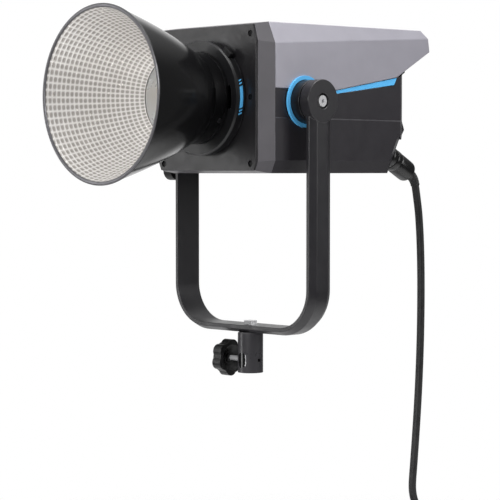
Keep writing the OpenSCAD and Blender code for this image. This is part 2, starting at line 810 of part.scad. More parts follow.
module reflector_shell() {
  t = 1.4;
  steps = [for (i = [0 : bell_steps]) i / bell_steps];
  outer = [for (u = steps) [bell_r(u, neck_r, mouth_r), neck_end + u * (mouth - neck_end)]];
  inner = [for (i = [bell_steps : -1 : 0]) outer[i] - [t, 0]];
  color([0.08, 0.08, 0.09]) difference() {
    turned(concat([[neck_r, 90.05]], outer, inner, [[neck_r - t, 90.05]]));
    rivet_holes(1.65);
  }
}

module reflector_liner() {
  t = 1;
  steps = [for (i = [0 : bell_steps]) i / bell_steps];
  mirror_r = mouth_r - 3.6;
  inner = [for (u = steps) [bell_r(u, throat_r, mirror_r), throat_at + u * (mouth - throat_at)]];
  outer = [for (i = [bell_steps : -1 : 0]) inner[i] + [t, 0]];
  color([0.85, 0.85, 0.87]) turned(concat([[throat_r, 98.1]], inner, outer, [[throat_r + t, 98.1]]));
}

module reflector_rim() {
  color([0.9, 0.9, 0.92])
    turned([[mouth_r - 3.6, mouth], [mouth_r + 0.4, mouth], [mouth_r + 1, mouth + 0.6],
            [mouth_r + 0.6, mouth + 1.8], [mouth_r - 2.6, mouth + 1.8]]);
}

// ---------- mains lead ----------

module cord_run() {
  color([0.04, 0.04, 0.04]) tube(lead, cord_d / 2);
}

module cord_coil() {
  color([0.04, 0.04, 0.04]) translate(coil_at) rotate([0, 90, 0]) rotate_extrude()
    translate([coil_r - coil_half[0], -coil_half[1]]) square([2 * coil_half[0], 2 * coil_half[1]]);
}

module coil_tie() {
  low = coil_r - coil_half[0] - 0.9;
  high = coil_r + coil_half[0] + 0.3;
  w = coil_half[1] + 0.2;
  strap = 1.5;
  color([0.2, 0.2, 0.2]) translate(coil_at) rotate([45, 0, 0])
    difference() {
      box([-w - strap, low - strap, -7], [w + strap, high + strap, 7]);
      box([-w, low, -8], [w, high, 8]);
    }
}

module cord_tail() {
  color([0.04, 0.04, 0.04]) tube(tail, cord_d / 2);
}

module mains_plug() {
  color([0.06, 0.06, 0.06]) translate(tail[len(tail) - 1]) mirror([0, 0, 1]) union() {
    cylinder(r = 7, h = 14);
    translate([0, 0, 14]) cylinder(r = 17.5, h = 22);
    for (x = [-9.5, 9.5]) translate([x, 0, 36]) cylinder(r = 2.4, h = 19);
  }
}

yoke_bracket();
stand_receiver();
receiver_insert();
receiver_bolt();
friction_washers();
clamp_tip();
clamp_screw();
clamp_knob();
tilt_lever();
tilt_lever_screw();
pivot_screw();
pivot_hubs();
pivot_accent_rings();
front_plate();
front_plate_screws();
front_bezel();
top_cover();
accent_stripes();
lower_housing();
rear_panel();
socket_plate();
rear_panel_screws();
display_window();
control_board();
inner_chassis();
bayonet_ring();
bayonet_marks();
release_lever();
cob_led();
cob_holder();
mixing_cup();
protective_glass();
heat_sink();
heat_pipes();
fan_frame();
fan_rotor();
driver_board();
power_supply();
dimmer_knob();
mode_knob();
menu_button();
back_button();
light_button();
switch_frame();
power_switch();
dmx_sockets();
usb_port();
power_inlet();
head_plug();
strain_relief();
reflector_flange();
reflector_rivets();
reflector_shell();
reflector_liner();
reflector_rim();
cord_run();
cord_coil();
coil_tie();
cord_tail();
mains_plug();
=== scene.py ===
import math

import bpy
from mathutils import Matrix, Vector


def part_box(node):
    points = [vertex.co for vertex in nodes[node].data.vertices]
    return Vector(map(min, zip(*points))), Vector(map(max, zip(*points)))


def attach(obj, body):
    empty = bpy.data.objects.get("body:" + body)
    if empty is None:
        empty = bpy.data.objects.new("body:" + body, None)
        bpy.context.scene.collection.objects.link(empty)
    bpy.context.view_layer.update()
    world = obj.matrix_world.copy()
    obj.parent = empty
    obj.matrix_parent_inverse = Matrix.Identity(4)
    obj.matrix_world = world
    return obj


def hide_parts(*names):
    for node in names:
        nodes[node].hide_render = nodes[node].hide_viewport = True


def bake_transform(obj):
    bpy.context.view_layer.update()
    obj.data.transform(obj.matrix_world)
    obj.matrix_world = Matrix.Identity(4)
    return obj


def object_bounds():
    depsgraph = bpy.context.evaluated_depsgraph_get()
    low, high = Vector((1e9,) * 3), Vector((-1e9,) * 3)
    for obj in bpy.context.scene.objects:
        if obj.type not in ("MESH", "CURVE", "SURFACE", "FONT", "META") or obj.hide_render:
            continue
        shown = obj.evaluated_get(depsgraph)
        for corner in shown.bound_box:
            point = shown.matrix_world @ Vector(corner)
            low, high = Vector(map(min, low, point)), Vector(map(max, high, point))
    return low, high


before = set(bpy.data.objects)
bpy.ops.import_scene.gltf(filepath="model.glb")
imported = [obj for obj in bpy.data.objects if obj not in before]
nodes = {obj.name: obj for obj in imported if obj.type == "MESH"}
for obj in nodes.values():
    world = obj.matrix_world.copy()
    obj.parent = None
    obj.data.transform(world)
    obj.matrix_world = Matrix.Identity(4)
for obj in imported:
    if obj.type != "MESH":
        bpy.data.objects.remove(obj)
cad_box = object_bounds()

# Lengths below are in millimetres, as in the part's source, and are scaled when a mesh is made
MM = 0.001


def box_mm(node):
    low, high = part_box(node)
    return low / MM, high / MM


def middle(node):
    low, high = box_mm(node)
    return (low + high) / 2


OPTIC = middle("bayonet_ring")
REAR_Y = box_mm("rear_panel")[1].y
MOUTH_Y = box_mm("reflector_liner")[0].y


# ---------- camera ----------

VIEW_AZIMUTH = math.radians(45.5)
VIEW_DOWN = math.radians(2.45)
camera_data = bpy.data.cameras.new("camera")
camera_data.lens = 132.8
camera_data.sensor_width = 36
camera = bpy.data.objects.new("camera", camera_data)
camera.location = (1.547, -1.521, 0.237)
camera.rotation_euler = (math.pi / 2 - VIEW_DOWN, 0, VIEW_AZIMUTH)
bpy.context.scene.collection.objects.link(camera)
bpy.context.scene.camera = camera


# ---------- materials ----------

def srgb(red, green, blue):
    """A display colour, 0 to 255, as the linear colour that a shader takes."""
    def linear(v):
        v /= 255
        return v / 12.92 if v <= 0.04045 else ((v + 0.055) / 1.055) ** 2.4
    return (linear(red), linear(green), linear(blue), 1.0)


def shade(colour, k):
    return tuple(min(1.0, c * k) for c in colour[:3]) + (1.0,)


def add_node(tree, kind, inputs=None, **settings):
    """A node with its settings; each input takes a value or another node's output."""
    node = tree.nodes.new(kind)
    for name, value in settings.items():
        setattr(node, name, value)
    for name, value in (inputs or {}).items():
        if isinstance(value, bpy.types.NodeSocket):
            tree.links.new(value, node.inputs[name])
        else:
            node.inputs[name].default_value = value
    return node


class Graph:
    """One node material around its Principled shader."""

    def __init__(self, name, **sockets):
        self.material = bpy.data.materials.new(name)
        self.material.use_nodes = True
        self.tree = self.material.node_tree
        self.shader = self.tree.nodes["Principled BSDF"]
        self.place = self.add("ShaderNodeTexCoord").outputs["Object"]
        for socket, value in sockets.items():
            self.shader.inputs[socket.replace("_", " ")].default_value = value

    def add(self, kind, inputs=None, **settings):
        return add_node(self.tree, kind, inputs, **settings)

    def link(self, output, socket):
        self.tree.links.new(output, self.shader.inputs[socket])

    def stretched(self, x, y, z):
        return self.add("ShaderNodeMapping", {"Vector": self.place, "Scale": (x, y, z)}).outputs[0]

    def noise(self, scale, detail=3.0, where=None):
        node = self.add("ShaderNodeTexNoise", {"Vector": where or self.place, "Scale": scale,
                                               "Detail": detail, "Roughness": 0.6})
        return node.outputs[0]

    def cells(self, scale, feature="F1"):
        node = self.add("ShaderNodeTexVoronoi", {"Vector": self.place, "Scale": scale},
                        feature=feature)
        return node.outputs["Distance"]

    def spread(self, value, low, high, start=0.3, end=0.7):
        node = self.add("ShaderNodeMapRange", {"Value": value, "From Min": start, "From Max": end,
                                               "To Min": low, "To Max": high})
        return node.outputs[0]

    def mixed(self, factor, first, second):
        node = self.add("ShaderNodeMix", {0: factor, 6: first, 7: second}, data_type="RGBA")
        return node.outputs[2]

    def maths(self, operation, a, b=0.0):
        return self.add("ShaderNodeMath", {0: a, 1: b}, operation=operation).outputs[0]

    def bump(self, height, strength, depth):
        """Raised detail, depth in metres; each call goes on top of the last."""
        node = self.add("ShaderNodeBump", {"Height": height, "Strength": strength,
                                           "Distance": depth})
        last = self.shader.inputs["Normal"].links
        if last:
            self.tree.links.new(last[0].from_socket, node.inputs["Normal"])
        self.link(node.outputs[0], "Normal")

    def edges(self, radius, gain):
        """1 along sharp edges and 0 on flat ground."""
        round_off = self.add("ShaderNodeBevel", {"Radius": radius}, samples=4)
        normal = self.add("ShaderNodeNewGeometry").outputs["Normal"]
        node = self.add("ShaderNodeVectorMath", {0: round_off.outputs[0], 1: normal},
                        operation="DOT_PRODUCT")
        missing = self.maths("SUBTRACT", 1.0, node.outputs["Value"])
        return self.maths("MULTIPLY", missing, gain)


def coated(name, colour, rough, tint=0.08, tint_scale=22, grain=1400, depth=0.00008, strength=0.3,
           rough_spread=0.1, wear=None, wear_radius=0.0007, **sockets):
    """A moulded or painted skin: cloudy tint, fine grain, uneven gloss and worn edges."""
    g = Graph(name, **{"Specular_IOR_Level": 0.35, **sockets})
    cloud = g.noise(tint_scale, 5)
    base = g.mixed(g.spread(cloud, 0, 1), shade(colour, 1 - tint), shade(colour, 1 + tint))
    handled = g.noise(tint_scale * 3.3, 4)
    if wear:
        rubbed = g.maths("MULTIPLY", g.edges(wear_radius, 2.2), g.spread(handled, 0.1, 1, 0.42, 0.62))
        base = g.mixed(g.maths("MINIMUM", rubbed, 0.85), base, wear)
    g.link(base, "Base Color")
    g.link(g.spread(handled, rough - rough_spread / 2, rough + rough_spread / 2), "Roughness")
    g.bump(g.noise(grain, 2), strength, depth)
    return g.material


def metal(name, colour, rough, streak=(1, 1, 1), streak_scale=300, depth=0.00002, spread=0.12,
          **sockets):
    """Bare metal with fine tool marks, streaked along the axis whose scale is small."""
    g = Graph(name, Metallic=1.0, **sockets)
    marks = g.noise(streak_scale, 3, g.stretched(*streak))
    cloud = g.noise(30, 4)
    g.link(g.mixed(g.spread(cloud, 0, 1), shade(colour, 0.9), shade(colour, 1.06)), "Base Color")
    g.link(g.spread(marks, rough - spread / 2, rough + spread / 2), "Roughness")
    g.bump(marks, 0.35, depth)
    return g.material


def dimpled(name):
    """Anodised mirror: bright ridges, and dimples with painted shade that darkens towards their
    middles.
    """
    g = Graph(name, Metallic=0.35)
    sunk = g.add("ShaderNodeAttribute", attribute_name="dimple_painted_shade").outputs["Fac"]
    cloud = g.noise(16, 3)
    bright = g.mixed(g.spread(cloud, 0, 1), srgb(244, 241, 237), srgb(252, 250, 248))
    # Painted shade: the base colour darkens with the depth of the dimples
    g.link(g.mixed(g.spread(sunk, 0, 0.8, 0.05, 0.75), bright, srgb(152, 147, 142)), "Base Color")
    g.link(g.spread(g.noise(60, 3), 0.22, 0.28), "Roughness")
    g.bump(g.noise(400, 2), 0.05, 0.00001)
    return g.material


def rubber(name, colour, rough):
    """Soft rubber: dull, with patches of dust, and a fine skin."""
    g = Graph(name, Sheen_Weight=0.15, Sheen_Roughness=0.4)
    dust = g.noise(60, 5)
    g.link(g.mixed(g.spread(dust, 0, 1, 0.35, 0.75), shade(colour, 0.85), shade(colour, 1.5)),
           "Base Color")
    g.link(g.spread(dust, rough - 0.05, rough + 0.12), "Roughness")
    g.bump(g.noise(2200, 2), 0.4, 0.00008)
    return g.material


def circuit_board(name, colour):
    g = Graph(name, Coat_Weight=0.4, Coat_Roughness=0.2)
    tracks = g.maths("GREATER_THAN", g.cells(160, "DISTANCE_TO_EDGE"), 0.06)
    g.link(g.mixed(tracks, srgb(150, 130, 60), colour), "Base Color")
    g.link(g.spread(g.noise(80), 0.35, 0.5), "Roughness")
    g.bump(tracks, 0.4, 0.0001)
    return g.material


def phosphor(name):
    """The yellow gel over the chips, with the rows of chips showing through."""
    g = Graph(name, Roughness=0.42, Subsurface_Weight=0.2, Subsurface_Scale=0.001)
    chips = g.cells(430, "F1")
    soft = g.noise(90, 3)
    g.link(g.mixed(g.spread(chips, 0, 1, 0.1, 0.6), srgb(255, 226, 110), srgb(236, 186, 44)),
           "Base Color")
    g.bump(g.maths("ADD", chips, soft), 0.25, 0.0003)
    return g.material


def window(name):
    """Cover glass: mostly clear, with the faint haze of its anti-glare coat."""
    g = Graph(name, Alpha=0.2, IOR=1.5, Coat_Weight=0.6, Coat_Roughness=0.04)
    g.link(g.mixed(g.spread(g.noise(18, 4), 0, 1), srgb(238, 241, 244), srgb(222, 228, 233)),
           "Base Color")
    g.link(g.spread(g.noise(40, 3), 0.05, 0.16), "Roughness")
    return g.material


def woven(name, colour):
    """Hook-and-loop tape: fuzzy loops in rows."""
    g = Graph(name, Sheen_Weight=0.5, Sheen_Roughness=0.5, Roughness=0.9)
    loops = g.cells(900, "F1")
    g.link(g.mixed(g.spread(loops, 0, 1, 0.1, 0.7), shade(colour, 1.9), shade(colour, 0.6)),
           "Base Color")
    g.bump(loops, 0.9, 0.0004)
    return g.material


WORN = srgb(120, 119, 122)
FINISHES = {
    "yoke_paint": coated("yoke_paint", srgb(32, 31, 34), 0.36, grain=1100, depth=0.00008,
                         strength=0.3, wear=srgb(90, 89, 93), Specular_IOR_Level=0.5),
    "socket_black": coated("socket_black", srgb(52, 51, 54), 0.3, wear=WORN, Specular_IOR_Level=0.5),
    "insert_black": coated("insert_black", srgb(10, 10, 11), 0.14, grain=1800, depth=0.00003,
                           Specular_IOR_Level=0.6),
    "zinc_steel": coated("zinc_steel", srgb(206, 206, 208), 0.28, tint=0.03, grain=900, depth=0.000004,
                         strength=0.05, rough_spread=0.04, Metallic=0.6),
    "fibre": coated("fibre", srgb(60, 56, 52), 0.75, grain=700, depth=0.0002),
    "brass_tip": metal("brass_tip", srgb(206, 176, 104), 0.28),
    "bright_steel": coated("bright_steel", srgb(226, 226, 228), 0.22, tint=0.03, grain=900,
                           depth=0.000004, strength=0.05, rough_spread=0.06, Metallic=0.55),
    "black_moulding": coated("black_moulding", srgb(15, 15, 16), 0.4, wear=srgb(60, 60, 62)),
    "hub_black": coated("hub_black", srgb(18, 18, 20), 0.36, wear=srgb(80, 80, 84)),
    "blue_trim": coated("blue_trim", srgb(88, 176, 232), 0.35, tint=0.04),
    "plate_black": coated("plate_black", srgb(25, 24, 26), 0.34, wear=srgb(110, 109, 113),
                          Specular_IOR_Level=0.4),
    "black_screw": coated("black_screw", srgb(7, 7, 8), 0.4, Specular_IOR_Level=0.2),
    "bezel_grey": coated("bezel_grey", srgb(78, 76, 80), 0.4, wear=srgb(150, 148, 154)),
    "silver_paint": coated("silver_paint", srgb(158, 156, 165), 0.34, tint=0.03, grain=2600,
                           depth=0.00004, strength=0.2, wear=srgb(214, 210, 216),
                           wear_radius=0.001, Metallic=0.3, Coat_Weight=0.25,
                           Coat_Roughness=0.25),
    "housing_dark": coated("housing_dark", srgb(40, 38, 42), 0.4, wear=srgb(110, 108, 114),
                           wear_radius=0.001),
    "panel_black": coated("panel_black", srgb(30, 30, 32), 0.45),
    "display_glass": coated("display_glass", srgb(10, 13, 18), 0.08, tint=0.2, strength=0.02,
                            rough_spread=0.04, Coat_Weight=1.0, Coat_Roughness=0.03),
    "board_green": circuit_board("board_green", srgb(20, 84, 48)),
    "sheet_aluminium": metal("sheet_aluminium", srgb(198, 199, 202), 0.36, (1, 1, 40)),
    "led_phosphor": phosphor("led_phosphor"),
    "white_moulding": coated("white_moulding", srgb(240, 240, 238), 0.5, tint=0.02),
    "cover_glass": window("cover_glass"),
    "copper": metal("copper", srgb(206, 132, 98), 0.3, (1, 60, 60)),
    "fan_black": coated("fan_black", srgb(22, 22, 23), 0.5),
    "knob_black": coated("knob_black", srgb(20, 20, 21), 0.5, grain=900),
    "button_grey": coated("button_grey", srgb(66, 66, 69), 0.55),
    "switch_red": coated("switch_red", srgb(176, 26, 22), 0.3),
    "socket_metal": metal("socket_metal", srgb(120, 120, 124), 0.32, (1, 60, 1)),
    "connector_black": coated("connector_black", srgb(10, 10, 11), 0.26, wear=srgb(50, 50, 52),
                              Specular_IOR_Level=0.5),
    "boot_rubber": rubber("boot_rubber", srgb(12, 12, 13), 0.5),
    "flange_metal": metal("flange_metal", srgb(58, 58, 60), 0.35, (1, 60, 1)),
    "bell_black": coated("bell_black", srgb(7, 7, 8), 0.17, tint=0.03, grain=1800,
                         depth=0.00002, strength=0.12, rough_spread=0.03,
                         Specular_IOR_Level=0.45),
    "mirror_silver": dimpled("mirror_silver"),
    "lead_rubber": rubber("lead_rubber", srgb(15, 15, 16), 0.42),
    "tie_fabric": woven("tie_fabric", srgb(30, 30, 32)),
}


# ---------- mesh tools ----------

def piece(name, shape, body, slot, replaced=(), sharp=40, finish=None, placed=None):
    """A mesh from (points, faces) in millimetres, riding on a body and painted from its slot."""
    points, faces = shape
    mesh = bpy.data.meshes.new(name)
    if placed:
        points = [placed @ Vector(p) for p in points]
    mesh.from_pydata([Vector(p) * MM for p in points], [], faces)
    mesh.validate()
    mesh.shade_smooth()
    mesh.set_sharp_from_angle(angle=math.radians(sharp))
    mesh.materials.append(finish or FINISHES[slot])
    obj = bpy.data.objects.new(name, mesh)
    bpy.context.scene.collection.objects.link(obj)
    if replaced:
        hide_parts(*replaced)
    if body:
        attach(obj, body)
    return obj


def joined(shapes):
    """Several (points, faces) as one."""
    points, faces = [], []
    for more, skin in shapes:
        start = len(points)
        points += more
        faces += [[i + start for i in face] for face in skin]
    return points, faces


def moved(shape, matrix):
    return [matrix @ Vector(p) for p in shape[0]], shape[1]


def lathe(profile, steps):
    """A closed profile of [radius, along] turned about the Z axis."""
    n = len(profile)
    points = []
    for i in range(steps):
        a = math.radians(360 * i / steps)
        points += [(r * math.cos(a), r * math.sin(a), along) for r, along in profile]
    faces = []
    for i in range(steps):
        j = (i + 1) % steps
        faces += [[i * n + k, j * n + k, j * n + (k + 1) % n, i * n + (k + 1) % n] for k in range(n)]
    return points, faces


def solid_lathe(profile, steps, scallop=None):
    """A profile of [radius, along] that starts and ends on the axis, turned about Z.

    scallop gives what to add to the radius at a radius, a place along and an angle.
    """
    inner = profile[1:-1]
    n = len(inner)
    points = []
    for i in range(steps):
        a = 2 * math.pi * i / steps
        for radius, along in inner:
            r = radius + (scallop(radius, along, a) if scallop else 0)
            points.append((r * math.cos(a), r * math.sin(a), along))
    faces = [[i * n + k, (i + 1) % steps * n + k, (i + 1) % steps * n + k + 1, i * n + k + 1]
             for i in range(steps) for k in range(n - 1)]
    first, last = len(points), len(points) + 1
    points += [(0, 0, profile[0][1]), (0, 0, profile[-1][1])]
    for i in range(steps):
        j = (i + 1) % steps
        faces += [[first, j * n, i * n], [last, i * n + n - 1, j * n + n - 1]]
    return points, faces


def tube(line, radius, sides):
    """A closed tube along a line; radius is a number or a function of the share travelled."""
    line = [Vector(p) for p in line]
    n = len(line)
    size = radius if callable(radius) else lambda share: radius
    ways = [(line[min(i + 1, n - 1)] - line[max(i - 1, 0)]).normalized() for i in range(n)]
    side = ways[0].orthogonal().normalized()
    points = []
    for i, (centre, way) in enumerate(zip(line, ways)):
        side = (side - way * side.dot(way)).normalized()
        up = way.cross(side)
        r = size(i / (n - 1))
        for s in range(sides):
            a = 2 * math.pi * s / sides
            points.append(centre + side * (r * math.cos(a)) + up * (r * math.sin(a)))
    faces = [[i * sides + s, i * sides + (s + 1) % sides, (i + 1) * sides + (s + 1) % sides,
              (i + 1) * sides + s] for i in range(n - 1) for s in range(sides)]
    faces += [list(range(sides))[::-1], [(n - 1) * sides + s for s in range(sides)]]
    return points, faces


def flowing(points, per=6):
    """A smooth line through points, per short steps between each pair."""
    points = [Vector(p) for p in points]
    ends = [points[0] * 2 - points[1]] + points + [points[-1] * 2 - points[-2]]
    line = []
    for i in range(1, len(ends) - 2):
        before, a, b, after = ends[i - 1:i + 3]
        for step in range(per):
            t = step / per
            line.append(0.5 * (2 * a + (b - before) * t + (2 * before - 5 * a + 4 * b - after) * t ** 2
                               + (3 * a - before - 3 * b + after) * t ** 3))
    return line + [points[-1]]


def eased(t):
    t = min(1.0, max(0.0, t))
    return t * t * (3 - 2 * t)


def slab(outline, low, high):
    """An outline of [x, y] raised from low to high along Z."""
    n = len(outline)
    points = [(x, y, height) for height in (low, high) for x, y in outline]
    faces = [[i, (i + 1) % n, n + (i + 1) % n, n + i] for i in range(n)]
    faces += [list(range(n))[::-1], [n + i for i in range(n)]]
    return points, faces


def disc(radius, sides):
    return [(radius * math.cos(2 * math.pi * i / sides),
             radius * math.sin(2 * math.pi * i / sides)) for i in range(sides)]


def rounded_box(width, height, corner, steps):
    """The outline of a box with rounded corners, each in so many steps."""
    outline = []
    for cx, cy, start in ((1, 1, 0), (-1, 1, 90), (-1, -1, 180), (1, -1, 270)):
        for k in range(steps + 1):
            a = math.radians(start + 90 * k / steps)
            outline.append((cx * (width / 2 - corner) + corner * math.cos(a),
                            cy * (height / 2 - corner) + corner * math.sin(a)))
    return outline


def facing(origin, forward, up=(0, 0, 1)):
    """A frame at origin whose Z axis points forward and whose Y axis leans to up."""
    z = Vector(forward).normalized()
    x = Vector(up).cross(z).normalized()
    y = z.cross(x)
    matrix = Matrix((x, y, z)).transposed().to_4x4()
    matrix.translation = Vector(origin)
    return matrix


# ---------- mains lead ----------

CORD_D = 9.5
PLUG_X = 60
SLOPE = math.radians(27.9)
SLOPE_OUT = Vector((0, math.cos(SLOPE), -math.sin(SLOPE)))
SLOPE_UP = Vector((0, math.sin(SLOPE), math.cos(SLOPE)))
SLOPE_LOW = Vector((0, 151.8, 234.5))
PLUG_UP = 29
PLUG_LEN = 58.3
BOOT_BEND = 20
BOOT_END = math.radians(78)
PLUG_AT = Vector((PLUG_X, 0, 0)) + SLOPE_LOW + SLOPE_UP * PLUG_UP
LEAD = [[60, 228.3, 214.2], [60, 230.3, 204.5], [60, 233.7, 186], [60, 236.1, 164],
        [60, 237.7, 140], [60, 238.7, 112], [60, 239, 82], [60, 238.7, 52], [60, 237.9, 22],
        [60, 236.5, -8], [60, 234.6, -38], [60, 232.2, -68], [60, 229.4, -98], [60, 226.3, -128],
        [60, 224.1, -149], [60.2, 224.1, -161], [61.2, 225.9, -171.5], [63.2, 229.6, -181.6],
        [65.5, 234.2, -189.7], [70, 242.5, -202.3], [74, 251.1, -215.1]]
TAIL = [[46, 261.5, -252], [46, 262.4, -268], [46, 263.6, -284], [46, 264, -300], [46, 264, -316]]
COIL_AT = (60, 198, -250)
COIL_R = 54
COIL_START = math.radians(33.3)
COIL_STEPS_PER_TURN = 90
# The turn over which the lead moves to the next place in the coil, and how early it starts
# where it also changes column
SHIFT = math.radians(90)
SHIFT_LEAD = math.radians(45)


def boot_point(angle):
    """A point of the boot's bend, angle below the horizontal."""
    pivot = PLUG_AT + SLOPE_OUT * PLUG_LEN - SLOPE_UP * BOOT_BEND
    return pivot + Vector((0, math.sin(angle), math.cos(angle))) * BOOT_BEND


def coil_line():
    """Four columns of three turns: in, out, in and out again, a cord's width apart."""
    column = [COIL_R + CORD_D, COIL_R, COIL_R - CORD_D]
    slots = []
    for k, offset in enumerate((1.5, 0.5, -0.5, -1.5)):
        radii = column if k % 2 == 0 else column[::-1]
        slots += [(r, COIL_AT[0] + offset * CORD_D) for r in radii]
    changes = [math.radians(320)]
    for k in range(1, len(slots) - 1):
        early = SHIFT_LEAD if k % 3 in (2, 0) else 0
        changes.append(changes[-1] + 2 * math.pi - early)
    whole = COIL_START + 2 * math.pi * (len(slots) - 1)
    steps = round(whole / (2 * math.pi) * COIL_STEPS_PER_TURN)
    line = []
    for i in range(steps + 1):
        travelled = whole * i / steps
        r, x = slots[0]
        for k, at in enumerate(changes):
            share = eased((travelled - at) / SHIFT + 0.5)
            r += (slots[k + 1][0] - slots[k][0]) * share
            x += (slots[k + 1][1] - slots[k][1]) * share
        a = COIL_START - travelled
        line.append(Vector((x, COIL_AT[1] + r * math.cos(a), COIL_AT[2] + r * math.sin(a))))
    return line


lead_line = flowing([boot_point(BOOT_END)] + LEAD)
turns = coil_line()
tail_line = flowing(TAIL)
cord_line = lead_line[:-1] + turns[2:-2] + tail_line
cord = piece("mains_lead", tube(cord_line, CORD_D / 2, 16), None, "lead_rubber",
             ("cord_run", "cord_coil", "cord_tail"), sharp=80)
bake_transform(cord)


# ---------- plugs and boot ----------

def turned(name, profile, placed, body, replaced, scallop=None):
    """A moulded part of the plugs, turned about its own axis."""
    return piece(name, solid_lathe(profile, 96, scallop), body, "connector_black", replaced, 35,
                 placed=placed)


def arc_profile(centre, radius, start, end, steps=8):
    """Points on an arc of a profile, angles in degrees from the radius axis."""
    return [(centre[0] + radius * math.cos(math.radians(start + (end - start) * i / steps)),
             centre[1] + radius * math.sin(math.radians(start + (end - start) * i / steps)))
            for i in range(steps + 1)]


PLUG_FRAME = facing(PLUG_AT, SLOPE_OUT, SLOPE_UP)
ribs = []
for k in range(2):
    s = 8.6 + 8.8 * k
    ribs += [(13.1, s), (13.5, s + 0.6), (13.5, s + 7.2), (13.1, s + 7.8), (12.3, s + 8.0),
             (12.3, s + 8.6)]
plug_profile = [(0, 6.1), (12.2, 6.1), (12.6, 6.6), (12.6, 8.7)] + ribs \
    + [(12.9, 27), (13.2, 27.8), (13.2, 46)] + arc_profile((6.7, 48.5), 6.4, -8, 88, 10) \
    + [(6.6, 56.4), (6.6, 58.2), (0, 58.2)]
turned("head_plug_body", plug_profile, PLUG_FRAME, "head", ("head_plug",))
inlet_profile = [(0, -9.9), (9.9, -9.9), (9.9, -0.2), (13.0, 0.1), (13.2, 0.5), (13.2, 5.5),
                 (12.9, 5.95), (0, 5.95)]
turned("power_inlet_body", inlet_profile, PLUG_FRAME, "head", ("power_inlet",))

BOOT_RIBS = 6
boot_line = [boot_point(SLOPE + (BOOT_END - SLOPE) * i / 72) for i in range(73)]


def boot_radius(share):
    groove = 0.5 * eased(2.2 * math.cos(2 * math.pi * BOOT_RIBS * share) - 0.6)
    return 6.45 - 0.95 * share - (groove if 0.04 < share < 0.96 else 0)


boot = piece("strain_relief_boot", tube(boot_line, boot_radius, 32), "head", "boot_rubber",
             ("strain_relief",), 50)


def coil_tie():
    """A strap round the bundle of turns, its free end lying over the outside."""
    at = math.radians(135)
    out = Vector((0, math.cos(at), math.sin(at)))
    along = Vector((0, -math.sin(at), math.cos(at)))
    centre = Vector(COIL_AT) + out * COIL_R
    loop = rounded_box(38.9, 29.4, 5.2, 8)
    section = [(-6.8, 0.1), (-6.8, 1.1), (-6.4, 1.35), (6.4, 1.35), (6.8, 1.1), (6.8, 0.1)]
    points = []
    n = len(loop)
    for i, (u, v) in enumerate(loop):
        before, after = Vector(loop[i - 1]), Vector(loop[(i + 1) % n])
        way = (after - before).normalized()
        outward = Vector((way.y, -way.x))
        for across, thick in section:
            q = Vector((u, v)) + outward * thick
            points.append(centre + Vector((1, 0, 0)) * q.x + out * q.y + along * across)
    m = len(section)
    faces = [[i * m + k, (i + 1) % n * m + k, (i + 1) % n * m + (k + 1) % m, i * m + (k + 1) % m]
             for i in range(n) for k in range(m)]
    return points, faces


tie = piece("coil_tie_strap", coil_tie(), "lead", "tie_fabric", ("coil_tie",), 60)

MAINS_FRAME = facing(TAIL[-1], (0, 0, -1), (0, 1, 0))


def grip(radius, along, angle):
    """Shallow finger flutes round the mains plug's body."""
    flute = 0.5 - 0.5 * math.cos(12 * angle)
    return -0.9 * flute if 17 < along < 33 and radius > 15 else 0


neck = []
for k in range(3):
    neck += [(7.0, 1.5 + 3.6 * k), (7.0, 3.6 + 3.6 * k), (6.1, 3.9 + 3.6 * k), (6.1, 4.8 + 3.6 * k)]
mains_profile = [(0, 0), (5.6, 0)] + neck + [(7.6, 12.8)] + arc_profile((13.5, 18), 4, -70, 0, 6) \
    + [(17.5, 20), (17.5, 30), (17.3, 33.6), (16.6, 34.8), (15.2, 35.4), (15.2, 36), (0, 36)]
mains_plug = turned("mains_plug_body", mains_profile, MAINS_FRAME, "lead", ("mains_plug",), grip)
pin_profile = [(0, 35.5), (2.4, 35.5), (2.4, 53.4), (2.1, 54.3), (1.4, 54.8), (0, 55)]
PIN_SPACING = 19
both_pins = joined([moved(solid_lathe(pin_profile, 32), Matrix.Translation((x, 0, 0)))
                    for x in (-PIN_SPACING / 2, PIN_SPACING / 2)])
pins = piece("mains_plug_pins", both_pins, "lead", "bright_steel", placed=MAINS_FRAME)


# ---------- reflector ----------

REFLECTOR_FRAME = facing((0, 0, OPTIC.z), (0, -1, 0))
NECK_R = 52.6
MOUTH_R = 98
THROAT_R = 45
NECK_START = 90.1
NECK_END = 105
THROAT_AT = 125
MOUTH = -MOUTH_Y
SHELL_WALL = 1.4
MIRROR_WALL = 1.0
MIRROR_R = MOUTH_R - 3.6
DIMPLE_DEPTH = 0.6
# Half a ring at the mouth ends the mirror mid-way through its last dimples, where their painted shade
# draws a dark scalloped line
CELL_RINGS = 21.5
CELLS_ROUND = 72
CELL_STEPS = 6


def bell_r(share, start, end):
    """The radius at a share of the way along a bell that flares from start to end."""
    return math.sqrt(start ** 2 + (end ** 2 - start ** 2) * share)


def bell_shell():
    steps = 40
    outer = [(bell_r(i / steps, NECK_R, MOUTH_R), NECK_END + (MOUTH - NECK_END) * i / steps)
             for i in range(steps + 1)]
    inner = [(r - SHELL_WALL, y) for r, y in outer[::-1]]
    neck_edge = [(NECK_R - SHELL_WALL, NECK_START), (NECK_R - 0.4, NECK_START),
                 (NECK_R, NECK_START + 0.4)]
    return lathe(neck_edge + outer + inner, 192)


